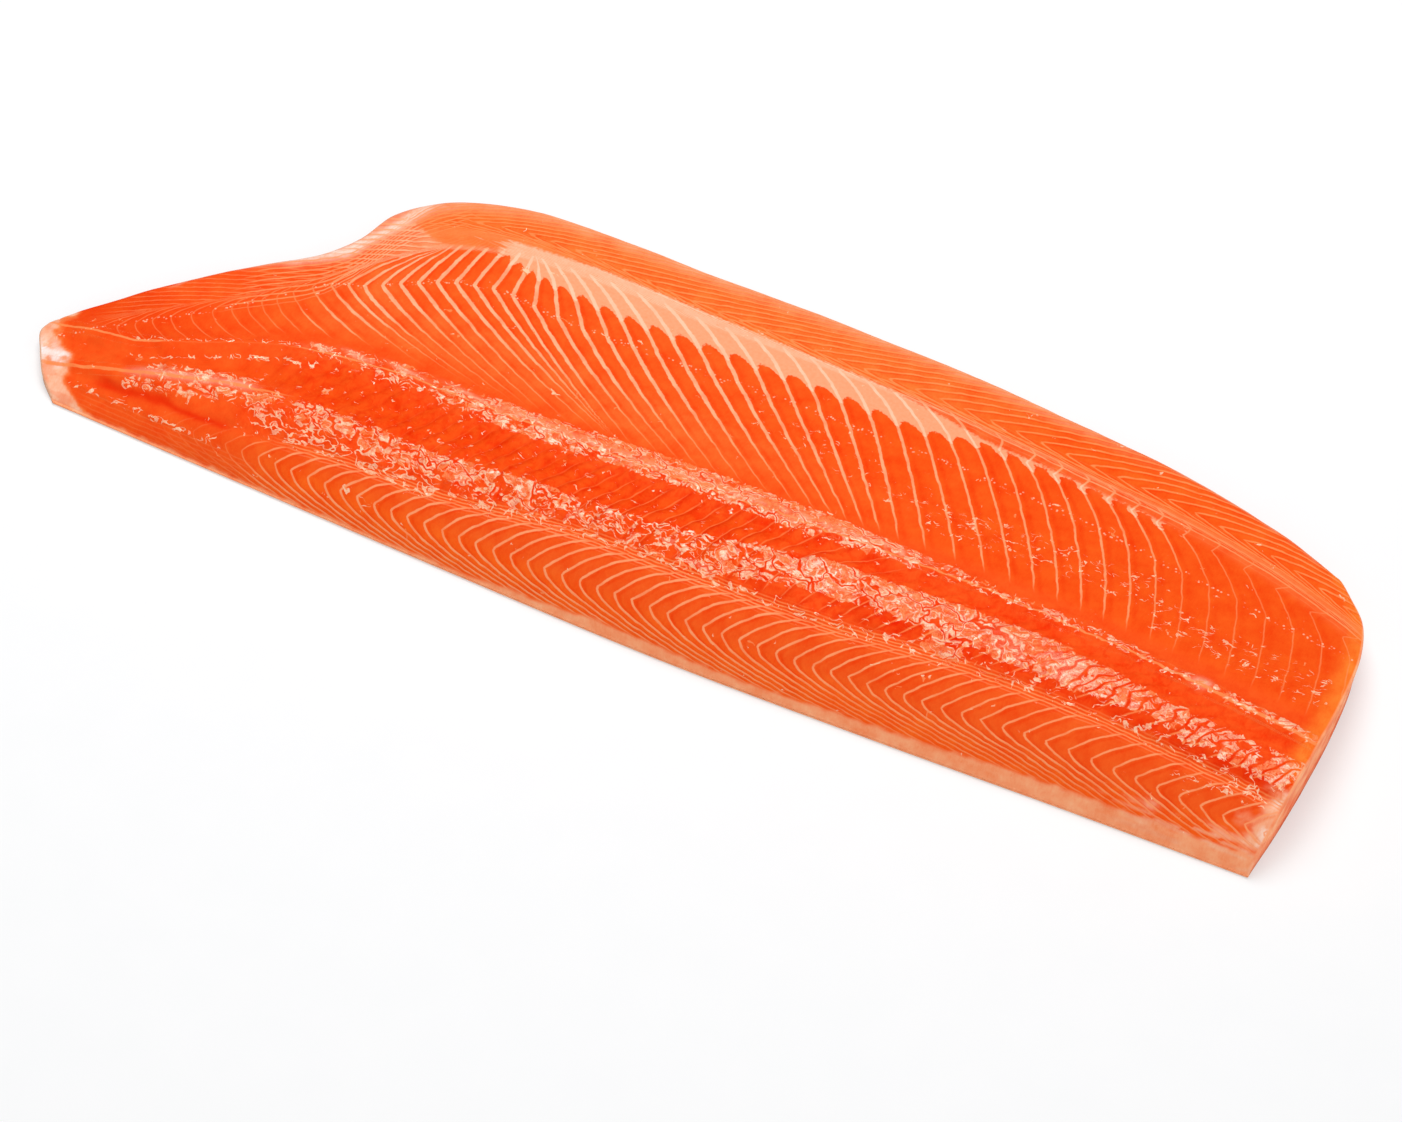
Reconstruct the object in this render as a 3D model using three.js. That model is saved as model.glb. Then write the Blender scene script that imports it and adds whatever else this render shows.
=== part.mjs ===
// A whole side of steelhead trout, boned and trimmed, lying skin down with its flesh up.
// Millimetres, +Z up. X runs from the tail cut (-X) to the head cut (+X), +Y is the belly edge and
// -Y the back edge. The skin rests on Z = 0, and the origin is under the middle of the fillet.
//
// The plan is a patch between four edges: back, belly, tail cut and head cut. Every station along it
// carries one cross-section: a round thick back, a crest, a slow fall over the belly flap and a soft
// thin belly edge. The channel where the backbone was and the lobes of red muscle are relief on it.

import * as THREE from 'three';
import { mergeVertices } from 'three/addons/utils/BufferGeometryUtils.js';

// Driving dimensions
const HALF_LENGTH = 215.2;      // tail tip to head cut is twice this
const HALF_WIDTH = 71.5;        // back edge to belly edge, at the widest place, is twice this
const THICKNESS = 25.5;         // the loin at its thickest
const SKIN_EDGE = 1.2;          // height of the edge of skin that all the flesh runs out to
const SKIN_TUCK = 0.9;          // how far the skin turns in under that edge

// Flesh thickness from tail to head, as parts of THICKNESS at equal steps along the length
const THICKNESS_ALONG = [0.22, 0.47, 0.63, 0.74, 0.84, 0.92, 0.98, 1.0, 1.0, 0.97, 0.90];

// Cross-section
const CREST_FROM_BACK = 38;     // from the back edge to the crest, where the flesh is full
const BACK_ROUND = 2.3;         // how long the round of the back stays steep
const BACK_SQUARE = 1.5;        // how square its foot stands up from the skin
const BELLY_FLAP = 10.5;        // thickness that the belly flap falls to
const BELLY_FALL = 0.85;        // below 1, the fall is quicker next to the crest
const BELLY_EDGE_ROUND = 8;     // width of the soft round at the belly edge
const HEAD_UNDERCUT = 0.8;      // the head cut leans back in by this much at the skin
const RIM_ROUND = 0.8;          // small soft edge along the top of both cuts
const FALL_EASE = 0.6;          // how far the belly's fall is a soft S rather than that quicker curve
const THIN = { crest: 0.4, flap: 0.8, edge: 0.5 };  // what is left of those sizes where the flesh runs out

// Plan of the four edges, from tail to head and from back to belly
const TAIL_BACK = [-198, -66.5];
const TAIL_BELLY = [-210.5, -35.5];
const HEAD_BACK = [209, -66];
const HEAD_BELLY = [195.5, 43];
const BACK_EDGE = [
  TAIL_BACK, [-126, -68.4], [-51, -70.3], [24, -HALF_WIDTH], [94, -69.8], [154, -67.6], HEAD_BACK,
];
const BELLY_EDGE = [
  TAIL_BELLY, [-203.5, -26.5], [-178, -3.3], [-160, 11.7], [-147, 22.7], [-139, 34], [-134, 48.5],
  [-120, 61.2], [-98, 69.5], [-67, HALF_WIDTH], [-29, 70.3], [14, 70.3], [54, 69.4], [97, 65.4],
  [139, 60.2], [173, 51.8], HEAD_BELLY,
];
const TAIL_CUT = [TAIL_BACK, [-205.5, -60], [-210.5, -53], [-HALF_LENGTH, -45.5], [-213.5, -40], TAIL_BELLY];
const HEAD_CUT = [
  HEAD_BACK, [211.8, -50], [214, -30], [HALF_LENGTH, -8], [214.4, 11], [210.8, 24.5], [203.7, 34], HEAD_BELLY,
];
const TAIL_CORE = [-165, -45];  // the skin tucks in towards the line between these two points
const HEAD_CORE = [150, -10];

// Relief, placed by its distance from the back edge at equal steps from the tail to the head
const CHANNEL = { from: [22, 35, 38.5, 43, 42.5, 31], depth: 1.1, half: 2.2 };      // where the backbone lay
const SEPTUM_RIDGE = { from: [31.5, 50.5, 52.5, 51, 47.5, 38.5], height: 1.0, half: 3.2 };  // flesh along it
const MUSCLE_RIDGE = { from: [12, 23, 24, 31, 32.5, 22], height: 1.1, half: 6.0 };  // red muscle beside it
const BACK_SEAM = { from: [7, 12.5, 17, 19.5, 20.7, 16], depth: 0.5, half: 1.8 };   // seam under that muscle
const LOBE = { pitch: 9.3, depth: 0.9, level: 0.6, slant: 0.55 };                   // segments that gape
const RELIEF_STARTS = 0.12;     // share of the length over which the relief grows from nothing at the tail
const RELIEF_RISES = 0.5;       // share of the thickness over which it grows up the foot of the section

// Fineness
const STATIONS = 132;
const CURVE_STEPS = 1200;
const CUT_STEPS = 400;
const WALL_STEPS = 2;
const ACROSS = [
  { to: 0.10, steps: 6, ease: 1.4 },   // the steep foot of the back
  { to: 0.38, steps: 10, ease: 1 },    // red muscle, channel and ridge
  { to: 0.93, steps: 7, ease: 1 },     // belly flap
  { to: 1.00, steps: 4, ease: 0.6 },   // soft belly edge
];

const lerp = THREE.MathUtils.lerp;
const bell = (distance, half) => Math.exp(-((distance / half) ** 2));

/** Points at equal spaces along the smooth curve through the corner points of one edge. */
function edgePoints(corners, steps) {
  const points = corners.map(([x, y]) => new THREE.Vector3(x, y, 0));
  const curve = new THREE.CatmullRomCurve3(points, false, 'centripetal');
  curve.arcLengthDivisions = CURVE_STEPS;
  return Array.from({ length: steps + 1 }, (_, i) => curve.getPointAt(i / steps));
}

/** Value on a smooth curve through the listed values, which stand at equal steps from 0 to 1. */
function along(values, t) {
  const last = values.length - 1;
  const place = Math.min(t * last, last - 1e-9);
  const k = Math.floor(place);
  const f = place - k;
  const [a, b, c, d] = [k - 1, k, k + 1, k + 2].map((i) => values[Math.min(Math.max(i, 0), last)]);
  return b + 0.5 * f * (c - a + f * (2 * a - 5 * b + 4 * c - d + f * (3 * (b - c) + d - a)));
}

/** Fractions across the fillet, closer together where the section bends most. */
function acrossFractions() {
  const fractions = [0];
  let start = 0;
  for (const { to, steps, ease } of ACROSS) {
    for (let k = 1; k <= steps; k++) fractions.push(lerp(start, to, (k / steps) ** ease));
    start = to;
  }
  return fractions;
}

/** Height of a plain section at a distance from the back edge, on a section of the given width. */
function sectionHeight(distance, width, full) {
  const share = full / THICKNESS;
  const crest = Math.min(CREST_FROM_BACK * lerp(THIN.crest, 1, share), 0.5 * width);
  const round = Math.max(0, 1 - distance / crest);
  const back = (1 - round ** BACK_ROUND) ** (1 / BACK_SQUARE);
  const past = Math.max(0, (distance - crest) / (width - crest));
  const ease = past * past * (3 - 2 * past);
  const flap = Math.min(BELLY_FLAP, full * THIN.flap);
  const fall = lerp(full, flap, lerp(past ** BELLY_FALL, ease, FALL_EASE));
  const toEdge = Math.min(1, (width - distance) / (BELLY_EDGE_ROUND * lerp(THIN.edge, 1, share)));
  const soft = Math.sqrt(Math.max(0, 1 - (1 - toEdge) ** 2));
  return SKIN_EDGE + (Math.max(SKIN_EDGE, Math.min(back * full, fall)) - SKIN_EDGE) * soft;
}

/** Relief on the section: channel, ridges and the lobes of muscle segments between them. */
function relief(x, distance, t) {
  const off = (band) => distance - along(band.from, t);
  const onMuscle = bell(off(MUSCLE_RIDGE), MUSCLE_RIDGE.half);
  const lobe = Math.abs(Math.sin(Math.PI * (x - LOBE.slant * off(MUSCLE_RIDGE)) / LOBE.pitch));
  return Math.min(1, t / RELIEF_STARTS) * (
    SEPTUM_RIDGE.height * bell(off(SEPTUM_RIDGE), SEPTUM_RIDGE.half)
    + (MUSCLE_RIDGE.height + LOBE.depth * (lobe - LOBE.level)) * onMuscle
    - CHANNEL.depth * bell(off(CHANNEL), CHANNEL.half)
    - BACK_SEAM.depth * bell(off(BACK_SEAM), BACK_SEAM.half)
  );
}

/** The top as rows of points from tail to head, each from the back edge to the belly edge. */
function topRows() {
  const back = edgePoints(BACK_EDGE, STATIONS);
  const belly = edgePoints(BELLY_EDGE, STATIONS);
  const fractions = acrossFractions();
  const cut = (corners) => {
    const points = edgePoints(corners, CUT_STEPS);
    return fractions.map((v) => points[Math.round(v * CUT_STEPS)]);
  };
  const tail = cut(TAIL_CUT);
  const head = cut(HEAD_CUT);
  return back.map((b, i) => {
    const t = i / STATIONS;
    const c = belly[i];
    const width = b.distanceTo(c);
    const full = THICKNESS * along(THICKNESS_ALONG, t);
    return fractions.map((v, j) => {
      const patch = (axis) => lerp(b[axis], c[axis], v) + lerp(tail[j][axis], head[j][axis], t)
        - lerp(lerp(back[0][axis], belly[0][axis], v), lerp(back[STATIONS][axis], belly[STATIONS][axis], v), t);
      const x = patch('x');
      const plain = sectionHeight(v * width, width, full);
      const risen = Math.min(1, (plain - SKIN_EDGE) / (RELIEF_RISES * full));
      const shaped = plain + relief(x, v * width, t) * risen;
      return new THREE.Vector3(x, patch('y'), shaped);
    });
  });
}

/** Rows that go down an end cut, from its softened rim to the edge of the skin. */
function wallRows(rim, inward, undercut) {
  return Array.from({ length: WALL_STEPS + 1 }, (_, k) => rim.map((p) => {
    const top = Math.max(SKIN_EDGE, p.z - RIM_ROUND);
    const z = lerp(top, SKIN_EDGE, k / WALL_STEPS);
    const lean = undercut * (top - z) / THICKNESS;
    return new THREE.Vector3(p.x + inward * lean, p.y, z);
  }));
}

/** One closed mesh: the top, the two cuts, a tucked edge of skin all round and the flat underside. */
function filletGeometry() {
  const top = topRows();
  const tailWall = wallRows(top[0], 1, 0).reverse();
  const headWall = wallRows(top[STATIONS], -1, HEAD_UNDERCUT);
  for (const [row, inward] of [[top[0], 1], [top[STATIONS], -1]]) {
    for (const p of row) p.x += inward * Math.min(RIM_ROUND, p.z - SKIN_EDGE);
  }
  const rows = [...tailWall, ...top, ...headWall];
  const last = rows.length - 1;
  const side = rows[0].length - 1;

  // The edge of the skin runs round from the tail cut by the belly and the head cut to the back. Each
  // of its points tucks in towards the point of the underside's middle line that its row stands on.
  const core = rows.map((_, i) => {
    const t = THREE.MathUtils.clamp((i - tailWall.length) / STATIONS, 0, 1);
    return new THREE.Vector3(...TAIL_CORE, 0).lerp(new THREE.Vector3(...HEAD_CORE, 0), t);
  });
  const edgePoint = (i, j) => {
    const p = rows[i][j];
    const foot = new THREE.Vector3().subVectors(core[i], p).setZ(0).setLength(SKIN_TUCK).add(p).setZ(0);
    return { p, foot, core: core[i] };
  };
  const upTo = Array.from({ length: Math.max(last, side) }, (_, k) => k);
  const edge = [
    ...upTo.slice(0, side).map((j) => edgePoint(0, j)),
    ...upTo.slice(0, last).map((i) => edgePoint(i, side)),
    ...upTo.slice(0, side).map((j) => edgePoint(last, side - j)),
    ...upTo.slice(0, last).map((i) => edgePoint(last - i, 0)),
  ];

  const positions = [];
  const face = (...points) => points.forEach((p) => positions.push(p.x, p.y, p.z));
  const quad = (a, b, c, d) => {
    face(a, b, c);
    face(a, c, d);
  };
  for (let i = 0; i < last; i++) {
    for (let j = 0; j < side; j++) quad(rows[i][j], rows[i + 1][j], rows[i + 1][j + 1], rows[i][j + 1]);
  }
  edge.forEach((here, i) => {
    const next = edge[(i + 1) % edge.length];
    quad(here.p, next.p, next.foot, here.foot);
    quad(here.foot, next.foot, next.core, here.core);
  });

  return weld(positions);
}

/** Merges shared points and drops the faces that have no width, where a cut runs out at a corner. */
function weld(positions) {
  const loose = new THREE.BufferGeometry();
  loose.setAttribute('position', new THREE.Float32BufferAttribute(positions, 3));
  const welded = mergeVertices(loose, 1e-3);
  const corners = Array.from(welded.index.array);
  const kept = [];
  for (let k = 0; k < corners.length; k += 3) {
    const [a, b, c] = corners.slice(k, k + 3);
    if (a !== b && b !== c && c !== a) kept.push(a, b, c);
  }
  welded.setIndex(kept);
  welded.computeVertexNormals();
  return welded;
}

const flesh = new THREE.MeshStandardMaterial({ color: '#f2602a', roughness: 0.35, metalness: 0 });
const fillet = new THREE.Mesh(filletGeometry(), flesh);
fillet.name = 'trout_fillet';

const part = new THREE.Group();
part.add(fillet);

export default part;
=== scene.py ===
import bpy
import numpy as np
from mathutils import Matrix, Vector


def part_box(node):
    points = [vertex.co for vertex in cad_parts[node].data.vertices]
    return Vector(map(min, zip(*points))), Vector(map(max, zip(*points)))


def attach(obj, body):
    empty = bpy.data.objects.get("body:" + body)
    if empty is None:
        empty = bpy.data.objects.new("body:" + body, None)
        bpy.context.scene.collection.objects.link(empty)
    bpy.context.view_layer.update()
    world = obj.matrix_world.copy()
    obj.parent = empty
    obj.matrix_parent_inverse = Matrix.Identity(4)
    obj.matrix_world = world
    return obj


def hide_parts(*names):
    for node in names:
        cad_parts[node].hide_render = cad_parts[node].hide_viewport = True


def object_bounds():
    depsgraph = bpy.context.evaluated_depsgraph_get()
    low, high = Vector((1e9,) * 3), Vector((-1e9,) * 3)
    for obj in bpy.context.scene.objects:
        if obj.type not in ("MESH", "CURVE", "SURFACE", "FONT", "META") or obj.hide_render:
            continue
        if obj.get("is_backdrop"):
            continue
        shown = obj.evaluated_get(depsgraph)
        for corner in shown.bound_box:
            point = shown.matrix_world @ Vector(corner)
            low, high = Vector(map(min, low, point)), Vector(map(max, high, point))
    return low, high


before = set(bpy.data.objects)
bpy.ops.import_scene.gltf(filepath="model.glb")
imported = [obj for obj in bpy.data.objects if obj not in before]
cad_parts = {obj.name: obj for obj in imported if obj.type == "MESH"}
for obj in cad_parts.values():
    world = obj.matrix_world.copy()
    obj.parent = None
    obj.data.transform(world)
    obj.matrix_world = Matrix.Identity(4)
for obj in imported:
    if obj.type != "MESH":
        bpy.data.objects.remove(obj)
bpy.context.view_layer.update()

# The fillet, its form
# One whole side of the fish, cut off the backbone and trimmed: a thick round back, a flat crest and a
# thin belly flap, with a slanted tail cut, a straight head cut and a notch where the vent was.
# Its surface is a patch between four edges in plan, and every station carries one cross-section.
MM = 0.001
low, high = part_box("trout_fillet")
half_length = (high.x - low.x) / 2 / MM
half_width = (high.y - low.y) / 2 / MM

THICKNESS = 25.5            # the loin at its thickest, in millimetres like all sizes of the fillet
SKIN_EDGE = 1.2             # height of the edge of skin that the flesh runs out to
SKIN_TUCK = 0.9             # how far the skin turns in under that edge
THICKNESS_ALONG = (0.22, 0.47, 0.63, 0.74, 0.84, 0.92, 0.98, 1.0, 1.0, 0.97, 0.90)
CREST_FROM_BACK = 38        # from the back edge to where the flesh is full
BACK_ROUND = 2.3            # how long the round of the back stays steep
BACK_SQUARE = 1.5           # how square its foot stands up from the skin
BELLY_FLAP = 10.5           # thickness that the belly flap falls to
BELLY_FALL = 0.85           # below 1, the fall is quicker next to the crest
FALL_EASE = 0.6             # how far that fall is a soft S instead
BELLY_EDGE_ROUND = 8        # width of the soft round at the belly edge
HEAD_UNDERCUT = 0.8         # the head cut leans back in by this much at the skin
RIM_ROUND = 0.9             # small soft edge along the top of both cuts
RIM_EASE = 8                # stations over which the top draws back for that edge

TAIL_BACK, TAIL_BELLY = (-198, -66.5), (-210.5, -35.5)
HEAD_BACK, HEAD_BELLY = (209, -66), (195.5, 43)
BACK_EDGE = (
    TAIL_BACK, (-126, -68.4), (-51, -70.3), (24, -half_width), (94, -69.8), (154, -67.6), HEAD_BACK,
)
BELLY_EDGE = (
    TAIL_BELLY, (-203.5, -26.5), (-178, -3.3), (-160, 11.7), (-147, 22.7), (-139, 34), (-134, 48.5),
    (-120, 61.2), (-98, 69.5), (-67, half_width), (-29, 70.3), (14, 70.3), (54, 69.4), (97, 65.4),
    (139, 60.2), (173, 51.8), HEAD_BELLY,
)
TAIL_CUT = (TAIL_BACK, (-205.5, -60), (-210.5, -53), (-half_length, -45.5), (-213.5, -40), TAIL_BELLY)
HEAD_CUT = (
    HEAD_BACK, (211.8, -50), (214, -30), (half_length, -8), (214.4, 11), (210.8, 24.5), (203.7, 34),
    HEAD_BELLY,
)
TAIL_CORE, HEAD_CORE = (-165, -45), (150, -10)      # the middle line of the underside

STATIONS = 500              # steps along the fish, about 0.85 mm each
COLUMNS = 162               # steps across, about 1 mm each along the surface
ROUND_ROWS = 3
HEAD_ROWS = 12
TAIL_ROWS = 4
UNDER_RINGS = (0.02, 0.07, 0.16, 0.3, 0.48, 0.7)


def edge_points(corners, at):
    """Points on the centripetal Catmull-Rom curve through the corners, at fractions of its length."""
    p = np.array(corners, float)
    p = np.vstack([2 * p[0] - p[1], p, 2 * p[-1] - p[-2]])
    gaps = np.sqrt(np.linalg.norm(np.diff(p, axis=0), axis=1))
    u = np.linspace(0, 1, 60, endpoint=False)[:, None]
    runs = []
    for i in range(1, len(p) - 2):
        before, here, after = gaps[i - 1], gaps[i], gaps[i + 1]
        step_in = (p[i] - p[i - 1]) / before - (p[i + 1] - p[i - 1]) / (before + here)
        step_out = (p[i + 2] - p[i + 1]) / after - (p[i + 2] - p[i]) / (here + after)
        chord = p[i + 1] - p[i]
        leave = step_in * here + chord
        arrive = step_out * here + chord
        runs.append(p[i] + u * leave + u**2 * (3 * chord - 2 * leave - arrive) + u**3 * (leave + arrive - 2 * chord))
    curve = np.vstack(runs + [p[-2:-1]])
    walked = np.concatenate([[0], np.cumsum(np.linalg.norm(np.diff(curve, axis=0), axis=1))])
    want = np.asarray(at) * walked[-1]
    return np.stack([np.interp(want, walked, curve[:, 0]), np.interp(want, walked, curve[:, 1])], -1)


def along(values, t):
    """Value on a smooth curve through the listed values, which stand at equal steps from 0 to 1."""
    v = np.array(values, float)
    last = len(v) - 1
    place = np.minimum(t * last, last - 1e-9)
    k = np.floor(place).astype(int)
    f = place - k
    a, b, c, d = (v[np.clip(k + o, 0, last)] for o in (-1, 0, 1, 2))
    return b + 0.5 * f * (c - a + f * (2 * a - 5 * b + 4 * c - d + f * (3 * (b - c) + d - a)))


def section_height(distance, width, full):
    """Height of a section at a distance from the back edge: a power curve up to the crest, a slow
    fall to the flap past it, and a quarter circle down at the belly edge."""
    share = full / THICKNESS
    crest = np.minimum(CREST_FROM_BACK * (0.4 + 0.6 * share), 0.5 * width)
    back = (1 - np.clip(1 - distance / crest, 0, 1) ** BACK_ROUND) ** (1 / BACK_SQUARE)
    past = np.clip((distance - crest) / (width - crest), 0, 1)
    ease = past**2 * (3 - 2 * past)
    flap = np.minimum(BELLY_FLAP, 0.8 * full)
    fall = full + (flap - full) * ((1 - FALL_EASE) * past**BELLY_FALL + FALL_EASE * ease)
    to_edge = np.clip((width - distance) / (BELLY_EDGE_ROUND * (0.5 + 0.5 * share)), 0, 1)
    soft = np.sqrt(1 - (1 - to_edge) ** 2)
    return SKIN_EDGE + (np.maximum(SKIN_EDGE, np.minimum(back * full, fall)) - SKIN_EDGE) * soft


dense = np.linspace(0, 1, 4001)
full_section = section_height(dense * 2 * half_width, 2 * half_width, THICKNESS)
walked_across = np.cumsum(np.hypot(np.diff(dense * 2 * half_width), np.diff(full_section)))
walked_across = np.concatenate([[0], walked_across])
across = np.interp(np.linspace(0, walked_across[-1], COLUMNS + 1), walked_across, dense)[None, :]
t = np.linspace(0, 1, STATIONS + 1)[:, None]

back_edge, belly_edge = edge_points(BACK_EDGE, t[:, 0]), edge_points(BELLY_EDGE, t[:, 0])
tail_cut, head_cut = edge_points(TAIL_CUT, across[0]), edge_points(HEAD_CUT, across[0])
plan = []
for axis in (0, 1):
    b, c = back_edge[:, None, axis], belly_edge[:, None, axis]
    ruled = b * (1 - across) + c * across
    ends = tail_cut[None, :, axis] * (1 - t) + head_cut[None, :, axis] * t
    plan.append(ruled + ends - ruled[:1] * (1 - t) - ruled[-1:] * t)
width = np.linalg.norm(back_edge - belly_edge, axis=1)[:, None]
full = THICKNESS * along(THICKNESS_ALONG, t)
smooth = np.stack([plan[0], plan[1], section_height(across * width, width, full)], -1)

# The chart that all markings are placed in: x along the fish, girth over the surface from the back
# edge, and edge, the same from the belly edge.
x = smooth[..., 0]
girth = np.zeros_like(x)
girth[:, 1:] = np.cumsum(np.hypot(np.diff(smooth[..., 1], axis=1), np.diff(smooth[..., 2], axis=1)), axis=1)
edge = girth[:, -1:] - girth


def through(table, at):
    """Value on a smooth curve through (place, value) pairs: cubic pieces, neighbours' slopes."""
    places, values = np.array(table, float).T
    slopes = np.gradient(values, places)
    at = np.clip(at, places[0], places[-1])
    k = np.clip(np.searchsorted(places, at, side="right") - 1, 0, len(places) - 2)
    gap = places[k + 1] - places[k]
    f = (at - places[k]) / gap
    rise = values[k + 1] - values[k]
    s, e = gap * slopes[k], gap * slopes[k + 1]
    return values[k] + f * (s + f * (3 * rise - 2 * s - e + f * (s + e - 2 * rise)))


def step(start, end, value):
    """0 before start and 1 past end, with a soft S between; start may be the higher one."""
    f = np.clip((value - start) / (end - start), 0, 1)
    return f * f * (3 - 2 * f)


def between(start, end, soft, value):
    """1 from start to end, falling to 0 over the soft distance outside them."""
    return step(start - soft, start, value) * step(end + soft, end, value)


def bell(distance, half):
    return np.exp(-((distance / half) ** 2))


def noise(u, v, seed):
    """Random heights from -1 to 1 on a unit grid, blended by soft steps."""
    heights = np.random.default_rng(seed).uniform(-1, 1, (128, 128))
    ui, vi = np.floor(u).astype(int), np.floor(v).astype(int)
    fu, fv = u - ui, v - vi
    fu, fv = fu * fu * (3 - 2 * fu), fv * fv * (3 - 2 * fv)
    corner = [[heights[(ui + a) % 128, (vi + b) % 128] for b in (0, 1)] for a in (0, 1)]
    near = corner[0][0] * (1 - fv) + corner[0][1] * fv
    far = corner[1][0] * (1 - fv) + corner[1][1] * fv
    return near * (1 - fu) + far * fu


def crumple(size_u, size_v, seed):
    """Three octaves of that noise over the chart, the largest of the given sizes in millimetres."""
    return sum(noise(x / size_u * 2**o + o * 17, girth / size_v * 2**o, seed + o) / 2**o for o in range(3))


# The fillet, the curves its anatomy follows, as (x, girth) or (x, edge) pairs
SEPTUM = (      # the seam where the ribs and the spine met the flesh, a pale line
    (-215, 26), (-200, 28.5), (-180, 32), (-160, 40), (-140, 49.5), (-120, 54.5), (-100, 57),
    (-60, 57.5), (-20, 58.5), (40, 59.7), (100, 58.8), (140, 56), (175, 51.5), (216, 45.5),
)
TAIL_SEPTUM = ((-215, 10), (-198, 13.5), (-180, 18.5), (-160, 24), (-140, 29.5), (-122, 33), (-100, 36))
CHANNEL = (
    (-215, 18), (-190, 24), (-150, 36), (-100, 42), (-60, 45), (-20, 46), (20, 50), (60, 54), (100, 54),
    (140, 51.5), (175, 46.5), (216, 41),
)
SEAM = (        # where the back chevrons run together
    (-215, 11), (-160, 14), (-130, 16.5), (-90, 20.5), (-60, 22), (-20, 27.5), (20, 29), (75, 29.5),
    (100, 31), (140, 30.5), (175, 28), (216, 23.5),
)
BACK_APEX = (
    (-215, 7), (-140, 10), (-100, 11), (-50, 12.5), (10, 15.3), (70, 16.3), (100, 17.2), (140, 18.5),
    (175, 17), (216, 14.5),
)
GLOSS_HIGH = (  # the ridge of flesh along the septum
    (-160, 42), (-150, 46), (-120, 55.5), (-100, 57.5), (-50, 58), (0, 61.5), (60, 61.5), (100, 60),
    (130, 58), (175, 52), (216, 46.5),
)
GLOSS_LOW_FROM = (
    (-185, 16), (-165, 19), (-150, 20), (-110, 27), (-70, 27), (-40, 28), (0, 31), (20, 31), (50, 37),
    (90, 39), (130, 37), (150, 36), (165, 36), (180, 33), (195, 31), (216, 28),
)
GLOSS_LOW_TO = (
    (-185, 27), (-165, 30), (-150, 30), (-110, 33), (-70, 33), (-40, 36), (0, 39), (20, 41), (50, 47),
    (90, 49), (130, 48), (150, 45), (165, 42), (180, 40), (195, 38.5), (216, 37),
)
KINK = (        # where the belly lines bend
    (-230, 10), (-200, 28), (-188, 37), (-176, 46), (-166, 54), (-157, 63), (-149, 70.5), (-141, 79),
    (-134, 84), (-126, 87), (-119, 91.5), (-110, 97), (-100, 102.5), (-88, 106), (-62, 104.5),
    (-37, 105), (0, 106.5), (30, 107), (57, 105.5), (98, 103.5), (117, 101), (137, 97.5), (155, 93.5),
    (173, 90), (216, 83),
)
FAT_FROM = (    # the band of belly fat
    (-125, 129), (-112, 126.5), (-104, 125), (-88, 121.5), (-76, 119.5), (-60, 117.5), (0, 118),
    (30, 118), (60, 115.5), (80, 115.5), (100, 113.5), (120, 112), (150, 107),
)
FAT_TO = (
    (-125, 128), (-112, 127.5), (-100, 128.5), (-80, 130.5), (-60, 132), (0, 131), (20, 130.3), (40, 129), (55, 126.5),
    (65, 124.5), (80, 121), (100, 118.5), (120, 116), (150, 111),
)
VENT_LINING = (
    (-190, 52), (-180, 63), (-172, 72), (-167, 77), (-155, 87), (-148, 92), (-140, 98.5), (-134, 107),
    (-130, 116), (-126, 127), (-110, 150),
)
MARGIN_APEX_EDGE = ((-130, 17), (-100, 19.5), (-60, 22), (-28, 24), (216, 24))
BUNDLE_EDGE = ((-100, 23.5), (-60, 25), (0, 26.5), (20, 28), (60, 29.5), (110, 30.3), (216, 30.3))
FAT_STRIP = (   # the pale strip of fat along the back edge
    (-60, 0.5), (-20, 2.5), (0, 4), (20, 4), (40, 3), (70, 3.5), (110, 5), (150, 6.2), (200, 6.5), (216, 8),
)

septum, channel, seam = through(SEPTUM, x), through(CHANNEL, x), through(SEAM, x)
tail_septum = through(TAIL_SEPTUM, x)
back_apex, kink_girth = through(BACK_APEX, x), through(KINK, x)
margin_apex, bundle = through(MARGIN_APEX_EDGE, x), through(BUNDLE_EDGE, x)
gloss_high = through(GLOSS_HIGH, x)
gloss_wide = through(((-216, 1), (-140, 1.5), (-100, 3.2), (-50, 4.2), (50, 4), (100, 2), (216, 1)), x)
gloss_low_from, gloss_low_to = through(GLOSS_LOW_FROM, x), through(GLOSS_LOW_TO, x)

# The fillet, its muscle segments
# Each sheet of pale tissue between two segments shows as one line. Lines are counted from tail to
# head: a point's number is the count at the place where its own line crosses the apex of its bend,
# so a line stands wherever the number is whole.
BACK_SEGMENTS = ((-460, -66), (-57, 0), (62, 20), (121, 30), (169, 37), (460, 80))
BELLY_SEGMENTS = (
    (-460, -75), (-196, -11), (-176.5, -7), (-160.7, -4), (-145.8, 0), (-125.7, 4), (-105, 8),
    (-93.5, 10), (-80, 12), (-62, 14), (146, 36), (216, 43.4), (460, 69),
)
MARGIN_SEGMENTS = ((-460, -48.5), (-28, 0), (180, 23.4), (460, 55))

# Back chevrons: below the apex line a line runs forward ever flatter, above it runs into the seam.
above = np.clip(girth - back_apex, 0, None)
below = np.clip(back_apex - girth, 0, None)
flatter = step(20, 130, x)
turn = 6 - 3.5 * flatter
forward = (
    (0.85 + 0.2 * flatter) * above * (1 + (0.7 - 0.4 * flatter) * (above / (seam - back_apex)) ** 3)
    + (0.5 + 0.3 * flatter) * below + (4.7 - 1.3 * flatter) * (below - turn * np.arctan(below / turn))
)
forward += 0.9 * noise(x / 16, girth / 2.6, 57) * step(0, 3, below) * step(-20, 60, x)
back_number = through(BACK_SEGMENTS, x - forward)

# Red muscle between seam and channel: lines lean forward as they rise.
risen = (girth - seam) / (channel - seam)
leaning = 6 + 15 * step(40, 90, x)
muscle_number = through(BACK_SEGMENTS, x - leaning * risen - 3 * risen**2)

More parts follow.
